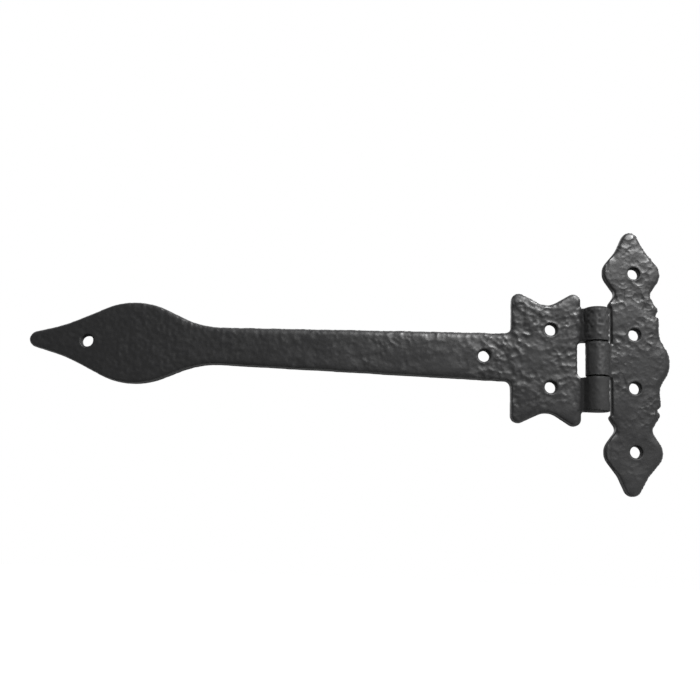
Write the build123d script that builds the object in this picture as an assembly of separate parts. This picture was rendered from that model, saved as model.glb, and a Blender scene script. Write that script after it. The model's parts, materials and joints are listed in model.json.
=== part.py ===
from build123d import *
import os
from math import sqrt

# Cast strap hinge, in millimetres: a long strap leaf, a frame leaf and the pin that joins them.
# +Z runs up along the pin, and the front faces -Y. Both leaves lie against the plane Y = 0.
# The origin is on the frame leaf's back face, midway between its two middle screw holes.
# Both leaves are the same above and below Z = 0, so each outline is drawn for its upper half.

# Castings
PLATE_T = 4.8
FRONT_EDGE_R = 0.8

# Barrel: three knuckles on one pin, flush with the back of the leaves
BARREL_R = 6.0
BARREL_X = -19.1
MIDDLE_KNUCKLE_H = 17.0
OUTER_KNUCKLE_H = 17.1
KNUCKLE_GAP = 0.4
KNUCKLE_ROOT = 9.6
VALLEY_R = 1.5

# Pin: pressed into the outer knuckles, free to turn in the middle one
PIN_R = 3.175
PIN_RUNNING_CLEARANCE = 0.06
PIN_END_CHAMFER = 0.5

# Screw holes
SCREW_HOLE_R = 2.9
INNER_SCREW_SPACING = 27.0
OUTER_SCREW_SPACING = 90.0
STAR_SCREW_X = -41.8
STAR_SCREW_SPACING = 29.0
STRAP_SCREW_X = -75.0
TIP_SCREW_X = -272.6

# Strap leaf: spear tip, tapering strap and four-lobed star plate
STRAP_TIP_X = -301.35
STRAP_NOSE_HALF = 3.15
STRAP_NARROW_X = -216.0
STRAP_NARROW_HALF = 9.2
STRAP_WIDE_HALF = 12.3
STAR_LEFT_X = -61.6
STAR_RIGHT_X = -26.6
STAR_WAIST = (-43.2, 26.0)
STAR_LEFT_LOBE_Z = 35.2
STAR_RIGHT_LOBE_Z = 36.3
SLOT_WIDTH = 3.3
SLOT_CORNER_R = 2.6

# Frame leaf: a spear at each end, with a bulge opposite the barrel. A spear leans towards the
# strap, so each of its widths is given as (middle x, z, half the width).
LEAF_NOSE = (-1.6, 66.6, 2.6)
LEAF_SHOULDER = (-1.2, 57.0, 7.4)
LEAF_SPEAR = (-0.9, 45.7, 16.4)
LEAF_NECK = (-0.5, 34.2, 8.6)
LEAF_BULGE_X = 17.8
LEAF_BULGE_Z = 4.1
LEAF_SIDE_X = 12.6
LEAF_BARREL_SIDE_X = -11.5
LOBE_CLEARANCE = 0.8

barrel_y = -BARREL_R
middle_half_h = MIDDLE_KNUCKLE_H / 2
outer_start_z = middle_half_h + KNUCKLE_GAP
barrel_half_h = outer_start_z + OUTER_KNUCKLE_H
slot_left_x = BARREL_X - BARREL_R - SLOT_WIDTH

# Each corner is (x, z, radius): the outline turns there through an arc of that radius.
STRAP_CORNERS = [
    (STRAP_TIP_X, STRAP_NOSE_HALF, 4.0),
    (-283.8, 7.7, 90.0),
    (-249.7, 24.3, 37.0),
    (STRAP_NARROW_X, STRAP_NARROW_HALF, 46.0),
    (STAR_LEFT_X, STRAP_WIDE_HALF, 3.0),
    (STAR_LEFT_X, STAR_LEFT_LOBE_Z, 3.9),
    (*STAR_WAIST, 9.0),
    (STAR_RIGHT_X, STAR_RIGHT_LOBE_Z, 3.6),
    (STAR_RIGHT_X, barrel_half_h, 1.5),
    (BARREL_X, barrel_half_h, 0),
]

SPEAR_WIDTHS = [(LEAF_NECK, 3.2), (LEAF_SPEAR, 8.5), (LEAF_SHOULDER, 12.0), (LEAF_NOSE, 4.0)]


def spear_side(side):
    """The corners up one side of a spear. side is -1 towards the strap and +1 away from it."""
    return [(middle + side * half, z, radius) for (middle, z, half), radius in SPEAR_WIDTHS]


LEAF_CORNERS = [
    (LEAF_BULGE_X, LEAF_BULGE_Z, 13.0),
    (LEAF_SIDE_X, 12.5, 11.0),
    (LEAF_SIDE_X + 0.2, 22.4, 1.2),
    (LEAF_SIDE_X - 1.7, 23.9, 0.7),
    (LEAF_SIDE_X + 0.1, 26.4, 2.2),
    *spear_side(1),
    *reversed(spear_side(-1)),
    (-13.0, 28.3, 1.5),
    (LEAF_BARREL_SIDE_X, barrel_half_h + LOBE_CLEARANCE, 0.8),
]


def plate(start_x, corners, end_x):
    """A leaf's flat plate. Its outline runs over the corners from one point on Z = 0 to another."""
    points = [(start_x, 0)] + [(x, z) for x, z, radius in corners] + [(end_x, 0)]
    radii = [radius for x, z, radius in corners]
    with BuildPart() as solid:
        with BuildSketch(Plane.XZ):
            with BuildLine():
                FilletPolyline(*points, radius=radii)
                Line(points[-1], points[0])
            make_face()
            mirror(about=Plane.XZ)
        extrude(amount=PLATE_T)
    return solid.part


def screw_hole(x, z):
    """The cylinder to cut out of a plate for one screw."""
    return Pos(x, 0, z) * Rot(90, 0, 0) * Cylinder(SCREW_HOLE_R, 3 * PLATE_T)


def round_front(solid):
    """The plate with its outline, slot and screw holes rounded over at the front."""
    front_face = solid.faces().sort_by(Axis.Y)[0]
    return fillet(front_face.edges(), FRONT_EDGE_R)


def slot():
    """The space that the strap leaf leaves for the middle knuckle, rounded at the star plate."""
    right_x = BARREL_X + BARREL_R
    with BuildPart() as space:
        with BuildSketch(Plane.XZ):
            with Locations(((slot_left_x + right_x) / 2, 0)):
                Rectangle(right_x - slot_left_x, 2 * outer_start_z)
            fillet(vertices().sort_by(Axis.X)[:2], SLOT_CORNER_R)
        extrude(amount=2 * BARREL_R, both=True)
    return space.part


def knuckle(z_low, height, side):
    """One knuckle and its root. side is -1 towards the strap and +1 towards the frame leaf."""
    valley_x = BARREL_X + side * sqrt(BARREL_R**2 - (BARREL_R - PLATE_T) ** 2)
    with BuildPart() as solid:
        with BuildSketch(Plane.XY.offset(z_low)):
            with Locations((BARREL_X, barrel_y)):
                Circle(BARREL_R)
            with Locations((BARREL_X + side * KNUCKLE_ROOT / 2, -PLATE_T / 2)):
                Rectangle(KNUCKLE_ROOT, PLATE_T)
            valley = vertices().sort_by_distance((valley_x, -PLATE_T, z_low))[0]
            fillet(valley, VALLEY_R)
        extrude(amount=height)
    return solid.part


def pin_cylinder(radius):
    """A cylinder along the barrel's whole length, for the pin or its bore."""
    return Pos(BARREL_X, barrel_y, 0) * Cylinder(radius, 2 * barrel_half_h)


def make_strap_leaf():
    solid = plate(STRAP_TIP_X, STRAP_CORNERS, BARREL_X) - slot()
    solid -= screw_hole(TIP_SCREW_X, 0)
    solid -= screw_hole(STRAP_SCREW_X, 0)
    for end in (-1, 1):
        solid -= screw_hole(STAR_SCREW_X, end * STAR_SCREW_SPACING / 2)
    solid = round_front(solid)
    for z_low in (-barrel_half_h, outer_start_z):
        solid += knuckle(z_low, OUTER_KNUCKLE_H, -1)
    return solid - pin_cylinder(PIN_R)


def make_frame_leaf():
    solid = plate(LEAF_BULGE_X, LEAF_CORNERS, LEAF_BARREL_SIDE_X)
    for spacing in (INNER_SCREW_SPACING, OUTER_SCREW_SPACING):
        for end in (-1, 1):
            solid -= screw_hole(0, end * spacing / 2)
    solid = round_front(solid)
    solid += knuckle(-middle_half_h, MIDDLE_KNUCKLE_H, 1)
    return solid - pin_cylinder(PIN_R + PIN_RUNNING_CLEARANCE)


def make_hinge_pin():
    pin = pin_cylinder(PIN_R)
    return chamfer(pin.edges().filter_by(GeomType.CIRCLE), PIN_END_CHAMFER)


nodes = {
    "strap_leaf": make_strap_leaf(),
    "frame_leaf": make_frame_leaf(),
    "hinge_pin": make_hinge_pin(),
}
os.makedirs("parts", exist_ok=True)
for name, solid in nodes.items():
    export_step(solid, f"parts/{name}.step")
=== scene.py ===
"""A cast strap hinge: hammered black leaves and a peened pin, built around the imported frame."""

import json
import math

import bmesh
import bpy
import numpy as np
from mathutils import Matrix, Vector


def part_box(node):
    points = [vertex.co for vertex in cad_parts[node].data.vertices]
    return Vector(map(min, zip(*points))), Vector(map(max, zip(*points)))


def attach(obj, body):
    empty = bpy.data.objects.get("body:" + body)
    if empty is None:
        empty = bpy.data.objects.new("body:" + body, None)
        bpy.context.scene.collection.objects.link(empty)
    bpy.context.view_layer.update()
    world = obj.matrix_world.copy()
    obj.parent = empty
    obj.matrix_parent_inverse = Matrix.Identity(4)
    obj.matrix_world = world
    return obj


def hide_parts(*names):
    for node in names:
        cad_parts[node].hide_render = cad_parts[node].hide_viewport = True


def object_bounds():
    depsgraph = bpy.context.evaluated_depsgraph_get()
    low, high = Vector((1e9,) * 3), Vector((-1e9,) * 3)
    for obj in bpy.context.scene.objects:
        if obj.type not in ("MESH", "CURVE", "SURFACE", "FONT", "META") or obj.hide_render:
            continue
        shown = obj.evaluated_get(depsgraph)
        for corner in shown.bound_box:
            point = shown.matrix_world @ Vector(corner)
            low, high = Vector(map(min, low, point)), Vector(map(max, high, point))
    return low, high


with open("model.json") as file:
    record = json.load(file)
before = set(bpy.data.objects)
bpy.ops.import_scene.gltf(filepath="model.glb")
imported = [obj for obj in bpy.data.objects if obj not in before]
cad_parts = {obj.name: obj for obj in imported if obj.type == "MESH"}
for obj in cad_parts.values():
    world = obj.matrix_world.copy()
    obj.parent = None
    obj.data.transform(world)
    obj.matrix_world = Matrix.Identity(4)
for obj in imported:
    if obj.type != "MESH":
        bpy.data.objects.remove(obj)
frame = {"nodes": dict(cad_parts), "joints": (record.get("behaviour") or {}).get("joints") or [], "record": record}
CAD_LOW, CAD_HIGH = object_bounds()

MM = 0.001
MICRON = 0.001 * MM

# Worked out from the frame: the joint's axis, the barrel around it, the pin in it and the thickness
# of the plates, which is how far the strap leaf stands out well away from the barrel
HINGE = frame["joints"][0]
AXIS_X, AXIS_Y = HINGE["pos_m"][0], HINGE["pos_m"][1]
BARREL_R = abs(AXIS_Y)
PIN_LOW, PIN_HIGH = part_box("hinge_pin")
PIN_R = (PIN_HIGH.x - PIN_LOW.x) / 2
STRAP_VERTICES = np.array([v.co for v in frame["nodes"]["strap_leaf"].data.vertices])
PLATE_T = -STRAP_VERTICES[STRAP_VERTICES[:, 0] < AXIS_X - 2 * BARREL_R, 1].min()

# Castings: the size of the quads that carry the relief, and how far sharp corners are relaxed first
VOXEL = {"strap_leaf": 0.479 * MM, "frame_leaf": 0.318 * MM}
EDGE_ROUNDS = 4
EDGE_WEIGHT = 0.5

# Relief: round dents and small chips, in patches, on a slow swell, and fine grain on top.
# DENT_SHARE and CHIP_SHARE are how many cells of the pattern hold one, and CHIPS_BETWEEN_PATCHES is
# how much of a chip's depth is left between the patches.
DENT_SIZE = 3.8 * MM
DENT_DEPTH = 0.38 * MM
DENT_SHARE = 0.9
CHIP_SIZE = 2.0 * MM
CHIP_DEPTH = 0.20 * MM
CHIP_SHARE = 0.7
CHIPS_BETWEEN_PATCHES = 0.4
SWELL_SIZE = 17 * MM
SWELL_DEPTH = 0.10 * MM
WARP_SIZE = 3.1 * MM
WARP_REACH = 0.8 * MM
PATCH_SIZE = 9 * MM
PATCH_EDGE = (-0.75, 0.10)
GRAIN_SIZE = 1.5 * MM
GRAIN_DEPTH = 0.30 * MM

# Shares of the relief's full depth, and then of the grain's
BACK_RELIEF = 0.45
LOST_ON_BACK = 0.30
LOST_ON_KNUCKLES = 0.70
LOST_ON_SPEAR = 0.70
LOST_BELOW = 0.60
LOST_ON_TOP = 0.25
LOST_IN_SMOOTH_PLACES = 0.85
GAINED_IN_ROUGH_PLACES = 0.45
LOW_KNUCKLE_GRAIN = 0.25
SPEAR_GRAIN = 0.27
GRAINY_PLACE = 0.35

# Places on the front (x, z, reach) in millimetres that came out of the mould unlike the rest
SMOOTH_PLACES = [(-48, 1, 8), (-34, -29, 9), (-7, 21, 7), (-6, -24, 9), (4, -3, 13), (-95, -6, 14)]
GRAINY_PLACES = [(-32, 2, 8), (-72, 3, 9), (-40, 24, 7)]
ROUGH_PLACES = [(-54, 26, 11), (-33, 16, 12), (4, 27, 9), (-57, -22, 9), (-66, 4, 9)]

# Worn edges at the front: a round bevel at the outline, and a shallow roll that reaches further in.
# Near the barrel the edges stay plain.
BEVEL_WIDTH = 3.1 * MM
BEVEL_DEPTH = {"strap_leaf": 1.3 * MM, "frame_leaf": 1.0 * MM}
ROLL_WIDTH = 5.0 * MM
ROLL_DEPTH = 0.30 * MM
PLAIN_NEAR_BARREL = {"strap_leaf": 2.2 * MM, "frame_leaf": 5.0 * MM}
SHARPER_ON_STAR = 0.55
SHARPER_ON_SPEAR = 0.6
SHARPER_BELOW_LEFT = 0.6

# Beside the star plate the strap's upper half falls away towards its edge, and where that plate
# meets its knuckles a valley is partly filled
FALL_DEPTH = 0.45 * MM
FALL_WIDTH = 12 * MM
VALLEY_FILL = 1.0 * MM
VALLEY_REACH = 2.3 * MM

# Where a finish or painted shade fades in, from none to full. The star plate's stretch is in X, the
# next five run from the origin towards the tip, and the others run up or down from the origin.
STAR_PLATE = (-66 * MM, -60 * MM)
TO_FALL = (56 * MM, 70 * MM)
PAST_FALL = (105 * MM, 150 * MM)
TO_SMOOTH_SPEAR = (70 * MM, 200 * MM)
TO_GRAINY_SPEAR = (150 * MM, 230 * MM)
TO_SHARP_SPEAR = (190 * MM, 235 * MM)
DOWN_TO_SMOOTH = (12 * MM, 42 * MM)
UP_TO_SMOOTH = (38 * MM, 50 * MM)
UP_TO_COARSE = (-2 * MM, 14 * MM)
# The next range is where painted shade darkens the bottom knuckle
DOWN_TO_PAINTED_SHADE = (6 * MM, 12 * MM)
DOWN_TO_SATIN = (38 * MM, 52 * MM)

# Which way a surface faces, from -1 to 1: where a finish starts, and where it is full. END_FACING
# is the least along Z on a knuckle's end, and WALL_FACING is the most along Y on a wall.
TO_FRONT = (-0.3, 0.6)
TO_BACK = (0.5, 0.9)
TO_SIDE = (0.4, 0.8)
TO_ENDS = (0.2, 0.6)
TO_BELOW_LEFT = (0.2, 0.7)
END_FACING = 0.5
WALL_FACING = 0.3

# Margins around the barrel and the screw holes
BARREL_CLEAR = 0.2 * MM
BARREL_SKIN = 0.3 * MM
BARREL_EDGE = 1.0 * MM
BORE_SIDE = (-0.8 * MM, -0.2 * MM)
KNUCKLE_REACH = 2.5 * MM
BESIDE_BARREL = (2.0 * MM, 3.5 * MM)
HOLE_WALL = 0.2 * MM
HOLE_EDGE = 0.9 * MM
HOLE_RIM = 2.2 * MM

# The outline is found on a grid of square cells, from the walls this near to the back, which leaves
# out the barrel's front
CELL = 0.25 * MM
OUTLINE_SOFTENING = 3
WALL_REACH = 4.0 * MM

# Pin: its shank, a share of its full radius, is a little under the bore, and its ends are hammered
# over into low domes
SHANK = 0.985
SHANK_RINGS = 24
DOME_RIM = 0.45 * MM
DOME_RISE = 0.14 * MM
DOME_RINGS = 14
DOME_FULLNESS = 0.55
PIN_SPOKES = 96

# Black coating. Its tone rises from about 0 in the dents to about 1 on the ridges, which paints shade
# into the dents, and is mottled; it sets colour and roughness. RELIEF_RANGE, from hollow to ridge, is in dent
# depths.
RELIEF_RANGE = (-1.0, 0.35)
PAINTED_SHADE_FROM_RELIEF = 0.55
MOTTLE_TONE = 0.45
MOTTLE_SIZE = 9 * MM
# Colour ends: the darker one is painted shade in the dents, holes, knuckle ends and beside the barrel
HOLLOW_COLOUR = (0.0035, 0.0035, 0.0037, 1)
RIDGE_COLOUR = (0.016, 0.016, 0.0165, 1)
RIDGE_COLOUR_FROM = 0.9
TONE_RANGE = (-0.3, 1.0)
ROUGHNESS = (0.85, 0.20)
SATIN_ROUGHNESS = 0.30
KNUCKLE_SATIN = 0.4
LOWER_LEAF_SATIN = 0.3
# Share of painted shade on the bottom knuckle, which darkens its colour
LOW_KNUCKLE_PAINTED_SHADE = 0.35
PEEL_SIZE = 1.3 * MM
PEEL_HEIGHT = 0.10 * MM
PEEL_STRENGTH = 0.35
COAT_GRAIN_SIZE = 0.33 * MM
COAT_GRAIN_HEIGHT = 0.035 * MM
COAT_GRAIN_STRENGTH = 0.30

# Each light: where it stands from the middle of the hinge, the side of its square, and its power
LIGHTS = {
    "key": ((0.48, -0.72, 0.74), 0.25, 24.0),
    "left": ((-0.85, -0.85, -0.35), 0.45, 0.6),
    "right": ((0.85, -0.85, -0.35), 0.45, 0.8),
    "bounce": ((0.55, -0.8, -0.85), 0.8, 1.5),
    "rear": ((0.7, 0.9, 0.7), 0.8, 14.0),
}

# Surround, by the direction that its light comes from, where +Y is straight behind the hinge
FROM_BEHIND = (-0.45, 0.1)
GLOW = (0.10, 1.3)
FROM_STRAIGHT_BEHIND = (0.4, 0.8)
UPPER_LEFT = (-0.6, 0, 0.8)
FROM_UPPER_LEFT = (0.10, 0.30)
LOST_ELSEWHERE = 0.90

# Random numbers: the seed, the first channel of each pattern, and odd numbers to scramble with
SEED = 11
DENTS, CHIPS, WARP, PATCHES, SWELL, GRAIN = 1, 9, 20, 30, 40, 50
SCRAMBLE_XYZ = (73856093, 19349663, 83492791)
SCRAMBLE_CHANNEL = 2654435761
SCRAMBLE_SEED = 97
SCRAMBLE_FIRST = 1274126177
SCRAMBLE_SECOND = 668265263


# ---------------------------------------------------------------- noise

def smooth_step(x, low, high):
    """0 up to low and 1 from high, with a smooth rise between them."""
    t = np.clip((x - low) / (high - low), 0, 1)
    return t * t * (3 - 2 * t)


def cell_random(cells, channel):
    """A repeatable number from 0 to 1 for each whole-number cell."""
    scrambled = cells * np.array(SCRAMBLE_XYZ)
    n = scrambled[:, 0] ^ scrambled[:, 1] ^ scrambled[:, 2]
    n = (n ^ (channel * SCRAMBLE_CHANNEL + SEED * SCRAMBLE_SEED)) & 0x7FFFFFFF
    n = (n ^ (n >> 13)) * SCRAMBLE_FIRST & 0x7FFFFFFF
    n = (n ^ (n >> 16)) * SCRAMBLE_SECOND & 0x7FFFFFFF
    return ((n ^ (n >> 15)) & 0xFFFFFF) / float(0xFFFFFF)


def value_noise(points, size, channel):
    """Smooth noise from -1 to 1, with features of about the given size."""
    p = points / size
    base = np.floor(p).astype(np.int64)
    f = p - base
    f = f * f * f * (f * (f * 6 - 15) + 10)
    total = np.zeros(len(p))
    for corner in np.ndindex(2, 2, 2):
        weight = np.ones(len(p))
        for k, step in enumerate(corner):
            weight *= f[:, k] if step else 1 - f[:, k]
        total += weight * cell_random(base + np.array(corner), channel)
    return total * 2 - 1


def dents(points, size, channel, share):
    """Depth from 0 to 1 under round dents scattered at random. share is how many cells hold one."""
    smallest_radius, radius_spread = 0.55, 0.40
    p = points / size
    base = np.floor(p).astype(np.int64)
    deepest = np.zeros(len(p))
    for step in np.ndindex(3, 3, 3):
        cells = base + np.array(step) - 1
        centre = cells + np.stack([cell_random(cells, channel + k) for k in range(3)], 1)
        radius = smallest_radius + radius_spread * cell_random(cells, channel + 3)
        depth = np.sqrt(np.clip(1 - cell_random(cells, channel + 4) / share, 0, 1))
        away = ((centre - p) ** 2).sum(1) / radius**2
        deepest = np.maximum(deepest, depth * np.clip(1 - away, 0, 1))
    return deepest


def hammered(points):
    """Relief of a hammered casting at each point, in metres: below 0 in the dents and chips, with a
    slow swell either way."""
    warp = np.stack([value_noise(points, WARP_SIZE, WARP + k) for k in range(3)], 1)
    p = points + warp * WARP_REACH
    patches = smooth_step(value_noise(points, PATCH_SIZE, PATCHES), *PATCH_EDGE)
    chipped = CHIPS_BETWEEN_PATCHES + (1 - CHIPS_BETWEEN_PATCHES) * patches
    relief = -DENT_DEPTH * patches * dents(p, DENT_SIZE, DENTS, DENT_SHARE)
    relief -= CHIP_DEPTH * chipped * dents(p, CHIP_SIZE, CHIPS, CHIP_SHARE)
    relief += SWELL_DEPTH * value_noise(points, SWELL_SIZE, SWELL)
    return relief


# ---------------------------------------------------------------- meshes

def cad_copy(node):
    """A welded copy of a CAD node's mesh, as a new object."""
    mesh = frame["nodes"][node].data.copy()
    work = bmesh.new()
    work.from_mesh(mesh)
    bmesh.ops.remove_doubles(work, verts=work.verts, dist=MICRON)
    work.to_mesh(mesh)
    work.free()
    mesh.materials.clear()
    copy = bpy.data.objects.new(node + "_source", mesh)
    bpy.context.scene.collection.objects.link(copy)
    return copy


def dense_mesh(source, voxel, name):
    """Even quads over the source's surface. The source itself is removed."""
    remesh = source.modifiers.new("even_quads", "REMESH")
    remesh.mode = "VOXEL"
    remesh.voxel_size = voxel
    bpy.context.view_layer.update()
    graph = bpy.context.evaluated_depsgraph_get()
    mesh = bpy.data.meshes.new_from_object(source.evaluated_get(graph))
    bpy.data.objects.remove(source)
    mesh.name = name
    return mesh


def positions(mesh):
    co = np.empty(len(mesh.vertices) * 3, np.float32)
    mesh.vertices.foreach_get("co", co)
    return co.reshape(-1, 3).astype(float)


def normals(mesh):
    n = np.empty(len(mesh.vertices) * 3, np.float32)
    mesh.vertex_normals.foreach_get("vector", n)
    return n.reshape(-1, 3).astype(float)


def set_positions(mesh, co):
    mesh.vertices.foreach_set("co", co.astype(np.float32).ravel())
    mesh.update()


def relaxed(mesh, values, rounds, weight):
    """The values after each vertex has moved towards the mean of its neighbours, some rounds over."""
    edges = np.empty(len(mesh.edges) * 2, np.int32)
    mesh.edges.foreach_get("vertices", edges)
    a, b = edges.reshape(-1, 2).T
    count = len(mesh.vertices)
    shared = np.bincount(a, minlength=count) + np.bincount(b, minlength=count)
    for _ in range(rounds):
        for k in range(values.shape[1]):
            total = np.bincount(a, values[b, k], count) + np.bincount(b, values[a, k], count)
            values[:, k] += weight * (total / shared - values[:, k])
    return values


# ---------------------------------------------------------------- places on a leaf

def screw_holes():
    """(x, z, radius) of every screw hole that the record's bolt patterns name."""
    holes = []
    for mount in frame["record"]["mounts"]:
        if mount["kind"] != "bolt_pattern":
            continue
        dims = mount["dims"]
        dx = dims.get("spacing_x_mm", 0) * MM / 2
        dz = dims.get("spacing_y_mm", 0) * MM / 2
        for side in (-1, 1):
            x, z = mount["pos_m"][0] + side * dx, mount["pos_m"][2] + side * dz
            holes.append((x, z, dims["hole_r_mm"] * MM))
    return holes


def in_screw_hole(co, margin):
    """1 inside any screw hole and 0 from the margin outwards."""
    inside = np.zeros(len(co))
    for x, z, r in screw_holes():
        away = np.hypot(co[:, 0] - x, co[:, 2] - z)
        inside = np.maximum(inside, 1 - smooth_step(away, r + HOLE_WALL, r + margin))
    return inside


def near(co, x, z, reach):
    """1 at a place on the front, in millimetres, falling smoothly to 0 at about twice the reach."""
    return np.exp(-((co[:, 0] - x * MM) ** 2 + (co[:, 2] - z * MM) ** 2) / (reach * MM) ** 2)


def out_of_bore(from_axis):
    """0 in the knuckles' bore and their flat ends, rising to 1 at the barrel's outside."""
    low, high = BORE_SIDE
    return smooth_step(from_axis, BARREL_R + low, BARREL_R + high)


def on_barrel(co, n):
    """Each vertex's distance from the hinge's axis, and from 0 to 1 how much it lies on the barrel's
    round outside and on the knuckles' flat ends."""
    from_axis = np.hypot(co[:, 0] - AXIS_X, co[:, 1] - AXIS_Y)
    ends = ((from_axis < BARREL_R + BARREL_SKIN) & (np.abs(n[:, 2]) > END_FACING)).astype(float)
    outside = (1 - smooth_step(from_axis, BARREL_R, BARREL_R + BARREL_EDGE)) * (1 - ends)
    outside *= out_of_bore(from_axis)
    return from_axis, outside, ends


def nearest_wall(walls, shape, reach):
    """The distance from each cell of a grid to the nearest wall cell, in cells, up to the reach."""
    grid = np.full(shape, float(reach**2))
    grid[walls[:, 0], walls[:, 1]] = 0
    for axis in (0, 1):
        nearest = grid.copy()
        for k in range(1, reach + 1):
            for step in (-k, k):
                nearest = np.minimum(nearest, np.roll(grid, step, axis) + k * k)
        grid = nearest
    return np.sqrt(grid)


def softened(field, rounds):
    """The field after each cell has been averaged with its neighbours, some rounds over."""
    for _ in range(rounds):
        for axis in (0, 1):
            field = (np.roll(field, 1, axis) + 2 * field + np.roll(field, -1, axis)) / 4
    return field


def sampled(field, place):
    """The field at each place, in cells, worked out from the four cells around it."""
    base = np.floor(place).astype(int)
    fx, fz = (place - base).T
    i, k = base.T
    left = field[i, k] * (1 - fz) + field[i, k + 1] * fz
    right = field[i + 1, k] * (1 - fz) + field[i + 1, k + 1] * fz
    return left * (1 - fx) + right * fx


def from_outline(co, n):
    """How far each vertex lies inside the outline, seen from the front, up to ROLL_WIDTH, and how
    squarely the nearest edge faces down and to the left, from -1 to 1."""
    reach = int(ROLL_WIDTH / CELL) + 1
    seen = co[:, [0, 2]]
    start = seen.min(0) - (reach + 2) * CELL
    shape = np.ceil((seen.max(0) - start) / CELL).astype(int) + reach + 3
    wall = (np.abs(n[:, 1]) < WALL_FACING) & (co[:, 1] > -WALL_REACH)
    wall &= in_screw_hole(co, HOLE_EDGE) < 0.5
    walls = np.round((seen[wall] - start) / CELL).astype(int)
    away = softened(nearest_wall(walls, shape, reach) * CELL, OUTLINE_SOFTENING)
    place = (seen - start) / CELL
    slope_x, slope_z = (sampled(slope, place) for slope in np.gradient(away, CELL))
    nearly_level = 1e-6
    facing = (slope_x + slope_z) / (math.sqrt(2) * np.hypot(slope_x, slope_z) + nearly_level)
    return sampled(away, place), facing


# ---------------------------------------------------------------- castings

def relief_strength(co, n, from_axis, ends):
    """How much of the hammered relief each vertex takes, from 0 to a little over 1."""
    towards_tip, up = -co[:, 0], co[:, 2]
    strength = BACK_RELIEF + (1 - BACK_RELIEF) * smooth_step(-n[:, 1], *TO_FRONT)
    strength *= 1 - LOST_ON_BACK * smooth_step(n[:, 1], *TO_BACK)
    strength *= 1 - in_screw_hole(co, HOLE_RIM)
    strength *= 1 - LOST_ON_KNUCKLES * (1 - smooth_step(from_axis, BARREL_R, BARREL_R + KNUCKLE_REACH))
    strength *= out_of_bore(from_axis) * (1 - ends)
    strength *= 1 - LOST_ON_SPEAR * smooth_step(towards_tip, *TO_SMOOTH_SPEAR)
    strength *= 1 - LOST_BELOW * smooth_step(-up, *DOWN_TO_SMOOTH)
    strength *= 1 - LOST_ON_TOP * smooth_step(up, *UP_TO_SMOOTH)
    for x, z, reach in SMOOTH_PLACES:
        strength *= 1 - LOST_IN_SMOOTH_PLACES * near(co, x, z, reach)
    for x, z, reach in ROUGH_PLACES:
        strength *= 1 + GAINED_IN_ROUGH_PLACES * near(co, x, z, reach)
    return strength


def coarse_knuckles(co):
    """How coarse the knuckles' grain is: full at the top of the barrel and little at its bottom."""
    return LOW_KNUCKLE_GRAIN + (1 - LOW_KNUCKLE_GRAIN) * smooth_step(co[:, 2], *UP_TO_COARSE)


def grain_share(co, barrel):
    """How much of the fine grain each vertex takes: on the knuckles, the spear and a few places."""
    spear = SPEAR_GRAIN * smooth_step(-co[:, 0], *TO_GRAINY_SPEAR)
    grain = np.maximum(barrel * coarse_knuckles(co), spear)
    for x, z, reach in GRAINY_PLACES:
        grain = np.maximum(grain, GRAINY_PLACE * near(co, x, z, reach) * (1 - barrel))
    return grain


def front_drop(node, co, n, from_axis):
    """How far the front lies under the flat plate: at its worn edges, and where the strap falls away
    beside the star plate."""
    inside, facing = from_outline(co, n)
    into_bevel = np.clip(1 - inside / BEVEL_WIDTH, 0, 1)
    star = smooth_step(co[:, 0], *STAR_PLATE) * (node == "strap_leaf")
    drop = BEVEL_DEPTH[node] * (1 - SHARPER_ON_STAR * star) * (1 - np.sqrt(1 - into_bevel**2))
    drop += ROLL_DEPTH * np.clip(1 - inside / ROLL_WIDTH, 0, 1) ** 2
    drop *= smooth_step(from_axis, BARREL_R + BARREL_CLEAR, BARREL_R + PLAIN_NEAR_BARREL[node])
    drop *= 1 - SHARPER_ON_SPEAR * smooth_step(-co[:, 0], *TO_SHARP_SPEAR)
    drop *= 1 - SHARPER_BELOW_LEFT * smooth_step(facing, *TO_BELOW_LEFT)
    beside_star = smooth_step(-co[:, 0], *TO_FALL) * (1 - smooth_step(-co[:, 0], *PAST_FALL))
    return drop + FALL_DEPTH * beside_star * np.clip(co[:, 2] / FALL_WIDTH, 0, 1) ** 2


def valley_fill(co, n):
    """How far the metal stands proud where the strap leaf's plate runs up into its knuckles."""
    valley_x = AXIS_X - math.sqrt(BARREL_R**2 - (BARREL_R - PLATE_T) ** 2)
    away = np.hypot(co[:, 0] - valley_x, co[:, 1] + PLATE_T)
    fill = VALLEY_FILL * np.exp(-(away / VALLEY_REACH) ** 2)
    return fill * (1 - smooth_step(np.abs(n[:, 2]), *TO_ENDS)) * (np.abs(co[:, 2]) < PIN_HIGH.z)


def painted_shade_places(node, co, n, from_axis, barrel, ends):
    """Where shade is painted into the coating, making it darker and also rougher: in the screw holes, on
    the knuckles' ends, on the bottom knuckle, and on the frame leaf's walls beside the barrel."""
    # All of this is painted shade: a darker colour in holes, gaps, knuckle ends and on the bottom knuckle
    low, high = BESIDE_BARREL
    beside = (1 - smooth_step(from_axis, BARREL_R + low, BARREL_R + high)) * (1 - barrel)
    beside *= smooth_step(np.abs(n[:, 0]), *TO_SIDE) * (node == "frame_leaf")
    bottom_knuckle = LOW_KNUCKLE_PAINTED_SHADE * barrel * smooth_step(-co[:, 2], *DOWN_TO_PAINTED_SHADE)
    return np.maximum.reduce([in_screw_hole(co, HOLE_EDGE), ends, beside, bottom_knuckle])


def satin_share(co, barrel):
    """Where the coating is more satin than glossy: on the knuckles, and a little on the lower leaf."""
    knuckles = barrel * (KNUCKLE_SATIN + (1 - KNUCKLE_SATIN) * coarse_knuckles(co))
    return np.maximum(knuckles, LOWER_LEAF_SATIN * smooth_step(-co[:, 2], *DOWN_TO_SATIN))


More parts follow.
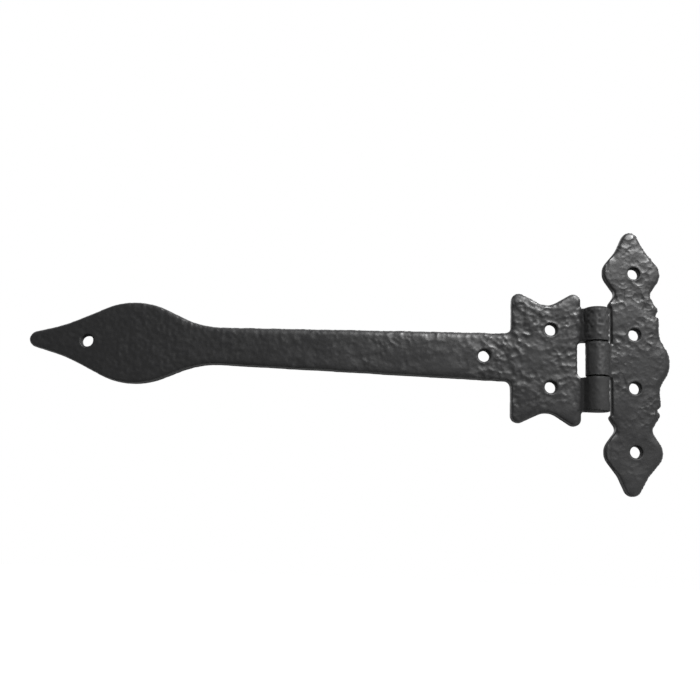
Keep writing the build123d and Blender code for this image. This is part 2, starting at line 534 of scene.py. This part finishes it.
def casting(node, name, body):
    """A leaf as it comes from the foundry: soft edges, hammered front and a plainer, flat back."""
    mesh = dense_mesh(cad_copy(node), VOXEL[node], name)
    co = relaxed(mesh, positions(mesh), EDGE_ROUNDS, EDGE_WEIGHT)
    set_positions(mesh, co)
    n = normals(mesh)
    from_axis, barrel, ends = on_barrel(co, n)
    relief = hammered(co) * relief_strength(co, n, from_axis, ends)
    relief += GRAIN_DEPTH * grain_share(co, barrel) * value_noise(co, GRAIN_SIZE, GRAIN)
    painted_shade_and_roughness = {
        "relief": relief / DENT_DEPTH,
        # painted shade in the holes, on the knuckles' ends, beside the barrel and on the bottom knuckle
        "painted_shade": painted_shade_places(node, co, n, from_axis, barrel, ends),
        "satin": satin_share(co, barrel),
    }
    co[:, 1] *= 1 - front_drop(node, co, n, from_axis) / PLATE_T
    # The barrel is sunk by half the depth of its grain, and the back is kept flat.
    outwards = relief - GRAIN_DEPTH / 2 * barrel
    if node == "strap_leaf":
        outwards += valley_fill(co, n)
    co += n * outwards[:, None]
    co[:, 1] = np.minimum(co[:, 1], CAD_HIGH.y)
    set_positions(mesh, co)
    for attribute, values in painted_shade_and_roughness.items():
        layer = mesh.attributes.new(attribute, "FLOAT", "POINT")
        layer.data.foreach_set("value", values.astype(np.float32))
    return placed(mesh, name, body, node)


def placed(mesh, name, body, node):
    """The mesh as a coated piece that rides on a body and stands for a CAD node."""
    mesh.shade_smooth()
    mesh.materials.append(black_powder_coat())
    piece = bpy.data.objects.new(name, mesh)
    bpy.context.scene.collection.objects.link(piece)
    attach(piece, body)
    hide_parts(node)
    return piece


# ---------------------------------------------------------------- pin

def pin_profile():
    """(radius, z) from the pin's bottom to its top: a straight shank between two low domes."""
    radius = PIN_R * SHANK
    dome_z = (PIN_HIGH.z - PIN_LOW.z) / 2 - DOME_RIM
    half = [(radius, z) for z in np.linspace(0, dome_z, SHANK_RINGS)]
    for k in range(1, DOME_RINGS + 1):
        turn = math.pi / 2 * k / DOME_RINGS
        r = radius * math.cos(turn) ** DOME_FULLNESS
        half.append((r, dome_z + (DOME_RIM + DOME_RISE) * math.sin(turn)))
    return [(r, -z) for r, z in reversed(half[1:])] + half


def turned(profile, spokes, name):
    """A mesh turned about Z from a profile of (radius, z). A ring at the centre is one vertex."""
    work = bmesh.new()
    rings = []
    for r, z in profile:
        if r < MICRON:
            rings.append([work.verts.new((0, 0, z))])
            continue
        angles = [2 * math.pi * k / spokes for k in range(spokes)]
        rings.append([work.verts.new((r * math.cos(t), r * math.sin(t), z)) for t in angles])
    for low, high in zip(rings, rings[1:]):
        for k in range(spokes):
            m = (k + 1) % spokes
            corners = [low[k % len(low)], low[m % len(low)], high[m % len(high)], high[k % len(high)]]
            work.faces.new(list(dict.fromkeys(corners)))
    mesh = bpy.data.meshes.new(name)
    work.to_mesh(mesh)
    work.free()
    return mesh


def peened_pin():
    """The pin: a turned shank whose ends are hammered over into low domes."""
    mesh = turned(pin_profile(), PIN_SPOKES, "hinge_pin_peened")
    mesh.transform(Matrix.Translation((AXIS_X, AXIS_Y, 0)))
    return placed(mesh, "hinge_pin_peened", "strap", "hinge_pin")


# ---------------------------------------------------------------- materials

class Nodes:
    """Adds nodes to one node tree. A value given to a node is a number, or a socket to link."""

    def __init__(self, tree):
        tree.nodes.clear()
        self.tree = tree

    def give(self, socket, value):
        """Link the value to the socket if it is one, or set the socket to it."""
        if isinstance(value, bpy.types.NodeSocket):
            self.tree.links.new(value, socket)
        else:
            socket.default_value = value

    def add(self, kind, **values):
        """A new node. Each value is for the input of that name, or else for a property."""
        node = self.tree.nodes.new(kind)
        for name, value in values.items():
            label = name.replace("_", " ")
            if label in node.inputs:
                self.give(node.inputs[label], value)
            else:
                setattr(node, name, value)
        return node

    def math(self, operation, *values):
        node = self.add("ShaderNodeMath", operation=operation)
        for socket, value in zip(node.inputs, values):
            self.give(socket, value)
        return node.outputs[0]

    def map_range(self, value, given, wanted):
        """The value with its given range stretched to the wanted one, and kept within that."""
        node = self.add("ShaderNodeMapRange", Value=value)
        node.inputs["From Min"].default_value, node.inputs["From Max"].default_value = given
        node.inputs["To Min"].default_value, node.inputs["To Max"].default_value = wanted
        return node.outputs["Result"]

    def attribute(self, name):
        return self.add("ShaderNodeAttribute", attribute_name=name).outputs["Fac"]

    def noise(self, size, detail, roughness):
        """Noise fixed to the object, with features of about the given size."""
        place = self.add("ShaderNodeTexCoord").outputs["Object"]
        texture = self.add("ShaderNodeTexNoise", Scale=1 / size, Detail=detail, Roughness=roughness)
        self.give(texture.inputs["Vector"], place)
        return texture.outputs["Fac"]

    def bump(self, strength, distance, height):
        return self.add("ShaderNodeBump", Strength=strength, Distance=distance, Height=height)


def black_powder_coat():
    """Black coating over cast iron: painted shade darkens it in the dents, holes, knuckle ends and beside the
    barrel, it is glossier on the ridges, and orange peel and grain are in it.
    """
    found = bpy.data.materials.get("black_powder_coat")
    if found:
        return found
    material = bpy.data.materials.new("black_powder_coat")
    material.use_nodes = True
    nodes = Nodes(material.node_tree)

    # Painted shade: the colour is darker in the dents than on the ridges
    ridge = nodes.map_range(nodes.attribute("relief"), RELIEF_RANGE, (0.0, 1.0))
    mottle = nodes.noise(MOTTLE_SIZE, detail=5, roughness=0.65)
    tone_with_painted_shade = nodes.math("MULTIPLY", ridge, PAINTED_SHADE_FROM_RELIEF)
    tone_with_painted_shade = nodes.math("MULTIPLY_ADD", mottle, MOTTLE_TONE, tone_with_painted_shade)
    # Painted shade: darker and rougher in the holes, at the knuckles' ends, beside the barrel and on the bottom
    # knuckle
    tone_with_painted_shade = nodes.math("MULTIPLY_ADD", nodes.attribute("painted_shade"), -1.0, tone_with_painted_shade)

    colour = nodes.add("ShaderNodeValToRGB", Fac=tone_with_painted_shade)
    hollow, ridge_top = colour.color_ramp.elements
    hollow.color = HOLLOW_COLOUR
    ridge_top.position = RIDGE_COLOUR_FROM
    ridge_top.color = RIDGE_COLOUR
    roughness = nodes.map_range(tone_with_painted_shade, TONE_RANGE, ROUGHNESS)
    roughness = nodes.math("MULTIPLY_ADD", nodes.attribute("satin"), SATIN_ROUGHNESS, roughness)

    peel_height = nodes.noise(PEEL_SIZE, detail=2, roughness=0.5)
    grain_height = nodes.noise(COAT_GRAIN_SIZE, detail=3, roughness=0.65)
    peel = nodes.bump(PEEL_STRENGTH, PEEL_HEIGHT, peel_height)
    grain = nodes.bump(COAT_GRAIN_STRENGTH, COAT_GRAIN_HEIGHT, grain_height)
    nodes.give(grain.inputs["Normal"], peel.outputs["Normal"])

    shader = nodes.add("ShaderNodeBsdfPrincipled", Base_Color=colour.outputs["Color"])
    nodes.give(shader.inputs["Roughness"], roughness)
    nodes.give(shader.inputs["Normal"], grain.outputs["Normal"])
    nodes.add("ShaderNodeOutputMaterial", Surface=shader.outputs["BSDF"])
    return material


def floor_material():
    """Pale and evenly bright, as a floor that is lit from all round."""
    material = bpy.data.materials.new("pale_floor")
    material.use_nodes = True
    shader = material.node_tree.nodes["Principled BSDF"]
    shader.inputs["Base Color"].default_value = (0.10, 0.10, 0.10, 1)
    shader.inputs["Roughness"].default_value = 0.9
    shader.inputs["Emission Color"].default_value = (0.92, 0.92, 0.92, 1)
    shader.inputs["Emission Strength"].default_value = 1.0
    return material


# ---------------------------------------------------------------- studio

def pale_floor():
    """A wide floor, well under the hinge, which hangs as it does when mounted."""
    mesh = bpy.data.meshes.new("floor")
    half = 3.0
    under_hinge = 0.24
    z = CAD_LOW.z - under_hinge
    corners = [(-half, -half, z), (half, -half, z), (half, half, z), (-half, half, z)]
    mesh.from_pydata(corners, [], [(0, 1, 2, 3)])
    mesh.materials.append(floor_material())
    floor = bpy.data.objects.new("floor", mesh)
    bpy.context.scene.collection.objects.link(floor)
    floor.visible_diffuse = False
    floor.visible_glossy = False


def lights(centre):
    """A soft key from the upper right, weak fills from both sides and below, and a rear light."""
    for name, (place, size, power) in LIGHTS.items():
        lamp = bpy.data.lights.new(name, "AREA")
        lamp.shape = "SQUARE"
        lamp.size = size
        lamp.energy = power
        light = bpy.data.objects.new(name, lamp)
        light.location = centre + Vector(place)
        light.rotation_mode = "QUATERNION"
        light.rotation_quaternion = (centre - light.location).to_track_quat("-Z", "Y")
        bpy.context.scene.collection.objects.link(light)


def surround():
    """White to the camera. To the hinge it is bright behind and dim in front, and straight behind
    only its upper left is bright."""
    world = bpy.data.worlds.new("surround")
    world.use_nodes = True
    nodes = Nodes(world.node_tree)
    direction = nodes.add("ShaderNodeTexCoord").outputs["Generated"]
    behind = nodes.add("ShaderNodeSeparateXYZ", Vector=direction).outputs["Y"]
    upper_left = nodes.add("ShaderNodeVectorMath", operation="DOT_PRODUCT")
    nodes.give(upper_left.inputs[0], direction)
    nodes.give(upper_left.inputs[1], UPPER_LEFT)

    glow = nodes.map_range(behind, FROM_BEHIND, GLOW)
    elsewhere = nodes.map_range(upper_left.outputs["Value"], FROM_UPPER_LEFT, (LOST_ELSEWHERE, 0.0))
    straight_behind = nodes.map_range(behind, FROM_STRAIGHT_BEHIND, (0.0, -1.0))
    kept = nodes.math("MULTIPLY_ADD", elsewhere, straight_behind, 1.0)
    glow = nodes.math("MULTIPLY", glow, kept)

    to_hinge = nodes.add("ShaderNodeBackground", Color=(1, 1, 1, 1), Strength=glow)
    to_camera = nodes.add("ShaderNodeBackground", Color=(1, 1, 1, 1), Strength=1.0)
    seen = nodes.add("ShaderNodeLightPath").outputs["Is Camera Ray"]
    mix = nodes.add("ShaderNodeMixShader", Fac=seen)
    nodes.give(mix.inputs[1], to_hinge.outputs[0])
    nodes.give(mix.inputs[2], to_camera.outputs[0])
    nodes.add("ShaderNodeOutputWorld", Surface=mix.outputs[0])
    bpy.context.scene.world = world
    bpy.context.scene.view_settings.view_transform = "Standard"


def camera(centre):
    """Straight in front and a little below, near enough for strong perspective, and rolled slightly."""
    distance = 0.462
    elevation = math.radians(-10)
    roll = math.radians(2.2)
    share_of_width = 0.92
    back = Vector((0, -math.cos(elevation), math.sin(elevation)))
    data = bpy.data.cameras.new("camera")
    width = (CAD_HIGH.x - CAD_LOW.x) / share_of_width
    data.sensor_width = 36
    data.lens = data.sensor_width * distance / width
    data.clip_start, data.clip_end = 0.01, 20
    view = bpy.data.objects.new("camera", data)
    turn = (-back).to_track_quat("-Z", "Y").to_matrix() @ Matrix.Rotation(roll, 3, "Z")
    view.matrix_world = Matrix.Translation(centre + back * distance) @ turn.to_4x4()
    bpy.context.scene.collection.objects.link(view)
    bpy.context.scene.camera = view


middle = (CAD_LOW + CAD_HIGH) / 2
casting("strap_leaf", "strap_leaf_casting", "strap")
casting("frame_leaf", "frame_leaf_casting", "frame")
peened_pin()
pale_floor()
lights(middle)
surround()
camera(middle)
